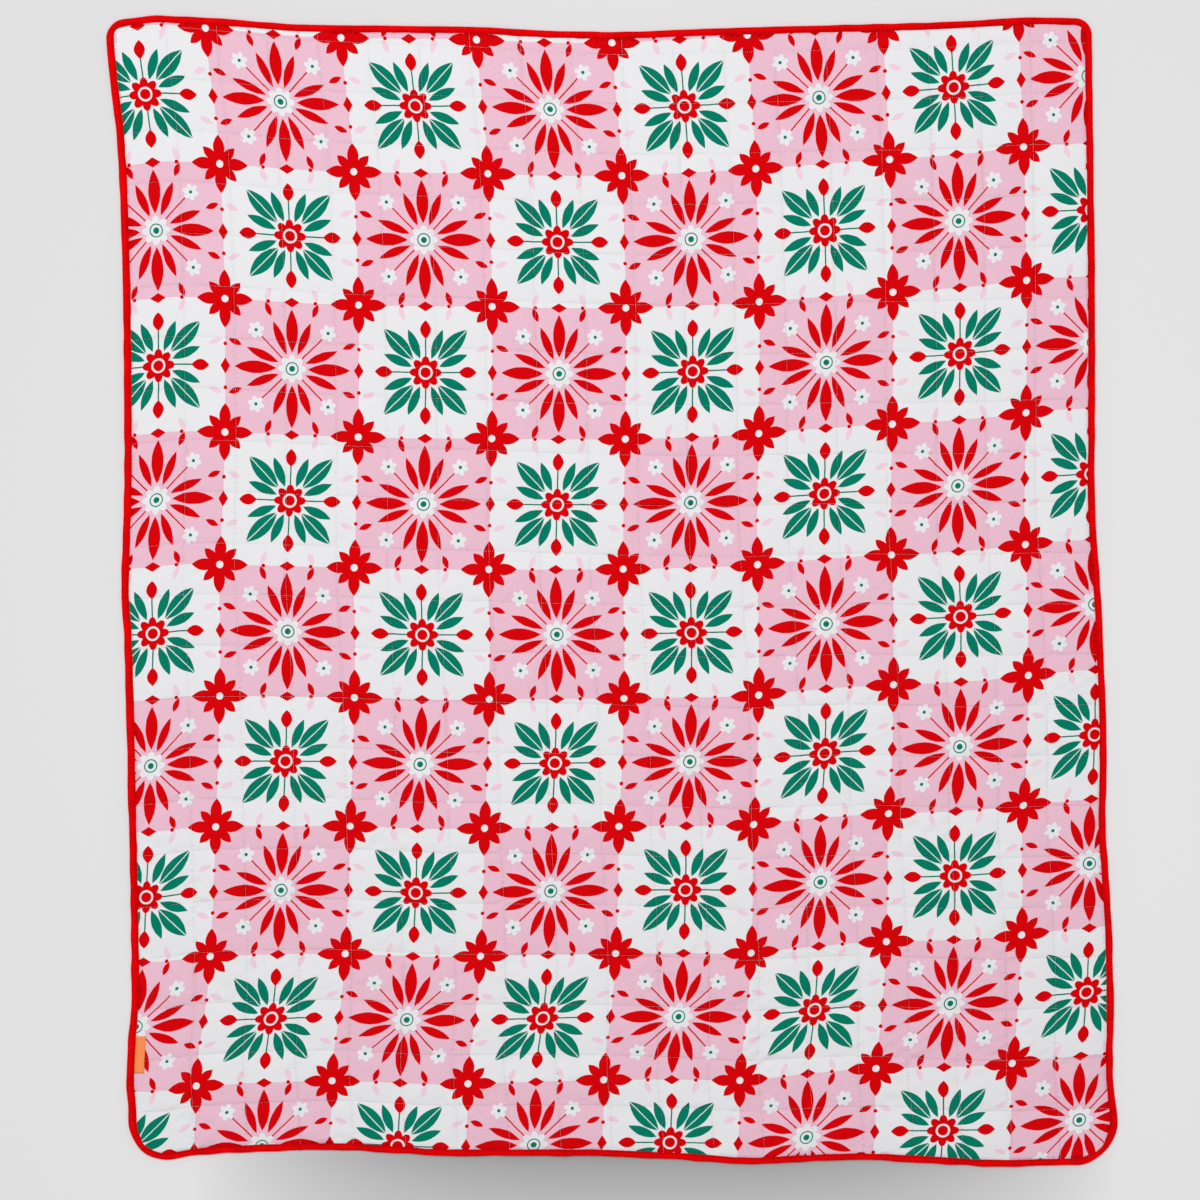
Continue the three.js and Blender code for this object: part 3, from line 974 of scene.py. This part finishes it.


# What the stitching does to the cloth beside it: needle marks, whose darkness is painted shade of
# the holes and of the seam's groove, and fine puckers across the seam. Both fade with the distance
# from the seam, which the seam map holds.
def addSeamShadeAndPuckers(known):
    addMap(known, "seamMap", ("toColumn", "toRow"))
    # a seam, its puckers' size, how far off its needle marks (painted shade) lie, and its puckers' height
    for name, size, away, pucker in (("toColumn", (14, 4.2), -1.4, 0.25), ("toRow", (4.2, 12), -0.8, 0.15)):
        addGrain(known, name + "Grain", size, 0)
        addSums(known, [
            # the needle marks are painted shade, in ticks along a band beside the seam
            (name + "Off", "MULTIPLY_ADD", name, 0.9, away),
            *bandSums(name + "Band", name + "Off"),
            (name + "Tick", "MULTIPLY_ADD", name + "Grain", 0.5, 0.5),
            (name + "Ticks", "MAXIMUM", name + "Tick", 0),
            (name + "Mark", "MULTIPLY", name + "Ticks", name + "Band"),
            (name + "Fall", "MULTIPLY", name, -1 / fine["puckerReach"]),
            (name + "Fade", "EXPONENT", name + "Fall"),
            (name + "Gather", "MULTIPLY", name + "Fade", pucker),
            (name + "Pucker", "MULTIPLY", name + "Gather", name + "Grain"),
        ])
    addSums(known, [
        # the painted shade of both seams' needle marks
        ("seamMarksAndShade", "MAXIMUM", "toColumnMark", "toRowMark"),
        ("puckers", "ADD", "toColumnPucker", "toRowPucker"),
    ])


# A plain woven cotton, printed with flat inks, then quilted: matt, with uneven ink where the
# threads are thick and thin, and fine puckers that the seams draw in beside them. The deeper the
# ink, the more the weave shows, and the darker the painted shade of the needle marks beside the seams.
def printedCotton():
    material, known = startCloth("Printed plain-weave cotton", "clothMap")
    colour = printedColour(known)
    shades = addNode(known["tree"], "ShaderNodeSeparateColor", {"mode": "HSV"}, {0: colour})
    inkDepth = shades.outputs[1]
    addSeamShadeAndPuckers(known)
    addWrinkles(known)
    addSums(known, [
        ("inkStrength", "SQRT", inkDepth),
        ("unevenness", "MULTIPLY_ADD", "inkStrength", *fine["uneven"]),
        ("clothShade", "MULTIPLY_ADD", "slubs", "unevenness", 1),
        # painted shade of the needle holes and seam grooves, darker on deep ink
        ("inkDepthSquare", "MULTIPLY", inkDepth, inkDepth),
        ("markShadeDepth", "MULTIPLY_ADD", "inkDepthSquare", *fine["marks"]),
        ("seamPaintedShade", "MULTIPLY_ADD", "seamMarksAndShade", "markShadeDepth", 1),
        ("shade", "MULTIPLY", "clothShade", "seamPaintedShade"),
        ("weave", "MULTIPLY_ADD", "slubs", fine["weaveHeight"], "gathered"),
    ])
    return finishCloth(material, known, colour, "weave")


# The undyed back, of the same plain weave, with the same painted shade beside its seams.
def backCotton():
    material, known = startCloth("Plain-weave cotton backing", "clothMap")
    addSeamShadeAndPuckers(known)
    addWrinkles(known)
    addSums(known, [
        ("clothShade", "MULTIPLY_ADD", "slubs", fine["backUneven"], 1),
        # painted shade of the needle marks beside the seams
        ("shade", "MULTIPLY_ADD", "seamMarksAndShade", fine["backMarkShade"], "clothShade"),
        ("weave", "MULTIPLY_ADD", "slubs", fine["weaveHeight"], "gathered"),
    ])
    return finishCloth(material, known, linearColour(printColours["white"]), "weave")


# Cotton tape cut on the cross and folded round the edge: matt, dyed through. The stitching
# gathers it into small folds, painted darker in their hollows and lighter on their tops, and
# painted shade darkens the tape beside the needle holes.
def dyedTape():
    material, known = startCloth("Dyed bias-cut cotton tape", "tapeMap")
    marks, uneven, gathers = binding["marks"], binding["uneven"], binding["gathers"]
    addGrain(known, "gathers", gathers["size"])
    addGrain(known, "patches", binding["patches"])
    addSums(known, [
        # painted shade beside the stitching, in ticks
        ("fromStitches", "SUBTRACT", "tMm", binding["stitchPlace"]),
        ("shadeBesideStitches", "MULTIPLY", "fromStitches", 1 / marks["reach"]),
        *bandSums("stitchShadeBand", "shadeBesideStitches"),
        ("stitchTicks", "MULTIPLY_ADD", "gathers", marks["swing"], marks["depth"]),
        ("stitchPaintedShade", "MULTIPLY", "stitchShadeBand", "stitchTicks"),
        ("tapeShade", "MULTIPLY_ADD", "slubs", uneven["slubs"], 1),
        # painted shade of the gathers, following their height
        ("paintedGatherShade", "MULTIPLY_ADD", "gathers", uneven["gathers"], "tapeShade"),
        ("patchShade", "MULTIPLY_ADD", "patches", uneven["patches"], "paintedGatherShade"),
        ("shade", "SUBTRACT", "patchShade", "stitchPaintedShade"),
        ("weave", "MULTIPLY", "slubs", fine["weaveHeight"]),
        ("height", "MULTIPLY_ADD", "gathers", gathers["height"], "weave"),
    ])
    return finishCloth(material, known, linearColour(binding["colour"]), "height")


# A ribbed polyester ribbon: slightly silky, with ribs across it. They are 0.6 mm apart and drawn
# twice as coarse, so that they show, with painted shade lighter on their tops and darker between.
def ribbedRibbon():
    material, known = startCloth("Ribbed woven ribbon", "tapeMap", roughness=0.6, specular=0.25)
    addSums(known, [
        ("ribPlace", "MULTIPLY", "sMm", 2 * math.pi / tab["ribs"]["pitch"]),
        ("ribs", "SINE", "ribPlace"),
        # painted shade of the ribs, following their height
        ("paintedRibShade", "MULTIPLY_ADD", "ribs", tab["ribs"]["shade"], 1),
        ("shade", "MULTIPLY_ADD", "slubs", tab["uneven"], "paintedRibShade"),
        ("height", "MULTIPLY", "ribs", tab["ribs"]["height"]),
    ])
    return finishCloth(material, known, linearColour(tab["colour"]), "height")


# Spun polyester sewing thread, a little glossy. Its twist is finer than the render shows.
def sewingThread(name, colour):
    material, known = startMaterial(name, roughness=0.7, specular=0.2)
    tree = known["tree"]
    place = addNode(tree, "ShaderNodeTexCoord")
    noise = addNode(tree, "ShaderNodeTexNoise", None,
                    {"Vector": place.outputs["Object"], "Scale": 1 / (2 * mm), "Detail": 1})
    addSums(known, [("shade", "MULTIPLY_ADD", noise.outputs[0], 0.3, 0.85)])
    return giveColour(material, known, linearColour(colour))


panel.data.materials.append(printedCotton())
panel.data.materials.append(backCotton())
bindingPiece.data.materials.append(dyedTape())
tabPiece.data.materials.append(ribbedRibbon())
thread = sewingThread("White sewing thread", 0xE8E6E7)
redThread = sewingThread("Red sewing thread", 0xC4040C)
for piece, material in ((threadsAlong, thread), (threadsAcross, thread), (bindingThread, redThread)):
    piece.data.materials.clear()
    piece.data.materials.append(material)
print("materials made")

for piece, slotName in ((panel, "printed_cotton"), (threadsAlong, "printed_cotton"),
                        (threadsAcross, "printed_cotton"), (bindingPiece, "binding_tape"),
                        (bindingThread, "binding_tape"), (tabPiece, "tab_ribbon")):
    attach(piece, "root")
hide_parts("quilt_panel")
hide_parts("edge_binding")
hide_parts("side_tab")

# Lengths here are in metres.
studio = {
    "paper": (0xE0E0E1, 0xF1F1F2),      # towards the lamp, and away from it
    "paperTurn": (0.2308, -0.3846),     # how fast it turns from one to the other, over x and y
    # a shadow painted into the paper off the blanket's foot, not cast by the lamp
    "paintedFootShadow": {"middle": 0.07, "halfWidth": 0.72, "start": -0.885, "reach": 0.19, "depth": 0.54},
    "worldLight": 0.52,
    "backdrop": 0xAAAAAB,               # what shows past the floor, as grey as its far side
    "key": {"place": (-0.7, 1.5, 5), "size": 2.6, "watts": 140},
    "floor": 120,
    "lens": 85,
    "cameraHeight": 4.415,
    "aim": (-0.018, -0.014),
}


# Matt white paper. It darkens a little towards the lamp, so that it shows as one even tone, and
# has a painted shadow off the foot of the blanket, strongest at the edge; no lamp casts it.
def studioPaper():
    material, known = startMaterial("Matt studio paper", roughness=1, specular=0)
    tree = known["tree"]
    place = addNode(tree, "ShaderNodeTexCoord")
    parts = addNode(tree, "ShaderNodeSeparateXYZ", None, {0: place.outputs["Object"]})
    x, y = parts.outputs[:2]
    addSums(known, [
        ("sideways", "MULTIPLY_ADD", x, studio["paperTurn"][0], 0.5),
        ("away", "MULTIPLY_ADD", y, studio["paperTurn"][1], "sideways"),
    ])
    near, far = (linearColour(value) for value in studio["paper"])
    mix = addNode(tree, "ShaderNodeMix", {"data_type": "RGBA", "clamp_factor": True},
                  {"Factor": known["away"], "A": near, "B": far})
    # the painted shadow: strongest at the foot edge, fading along it and away from it
    shade = studio["paintedFootShadow"]
    addSums(known, [
        ("fromMiddle", "SUBTRACT", x, shade["middle"]),
        ("alongFoot", "MULTIPLY", "fromMiddle", 1 / shade["halfWidth"]),
        ("toSide", "ABSOLUTE", "alongFoot"),
        ("toSideCubed", "POWER", "toSide", 3),
        ("acrossFoot", "SUBTRACT", 1, "toSideCubed"),
        ("acrossShade", "MAXIMUM", "acrossFoot", 0),
        ("pastFoot", "SUBTRACT", y, shade["start"]),
        ("offFoot", "ABSOLUTE", "pastFoot"),
        ("offFootShare", "MULTIPLY", "offFoot", -1 / shade["reach"]),
        ("fade", "EXPONENT", "offFootShare"),
        ("paintedFootShadow", "MULTIPLY", "fade", "acrossShade"),
        ("shade", "MULTIPLY_ADD", "paintedFootShadow", -shade["depth"], 1),
    ])
    return giveColour(material, known, mix.outputs["Result"])


bpy.ops.mesh.primitive_plane_add(size=studio["floor"])
floor = bpy.context.object
floor.name = "floor"
floor.data.materials.append(studioPaper())

world = bpy.data.worlds.new("studioLight")
bpy.context.scene.world = world
world.use_nodes = True
sky = world.node_tree
soft = sky.nodes["Background"]
soft.inputs["Color"].default_value = (1, 1, 1, 1)
soft.inputs["Strength"].default_value = studio["worldLight"]
seen = addNode(sky, "ShaderNodeBackground", None, {"Color": linearColour(studio["backdrop"])})
path = addNode(sky, "ShaderNodeLightPath")
mixed = addNode(sky, "ShaderNodeMixShader", None,
                {0: path.outputs["Is Camera Ray"], 1: soft.outputs[0], 2: seen.outputs[0]})
sky.links.new(mixed.outputs[0], sky.nodes["World Output"].inputs["Surface"])

key = studio["key"]
lamp = newPiece("keyLight", bpy.data.lights.new("keyLight", "AREA"))
lamp.data.size = key["size"]
lamp.data.energy = key["watts"]
lamp.location = key["place"]
lamp.rotation_euler = (-Vector(key["place"])).to_track_quat("-Z", "Y").to_euler()
lamp.visible_camera = False

camera = newPiece("camera", bpy.data.cameras.new("camera"))
camera.data.lens = studio["lens"]
camera.location = (*studio["aim"], studio["cameraHeight"])
bpy.context.scene.camera = camera
bpy.context.scene.view_settings.view_transform = "Standard"
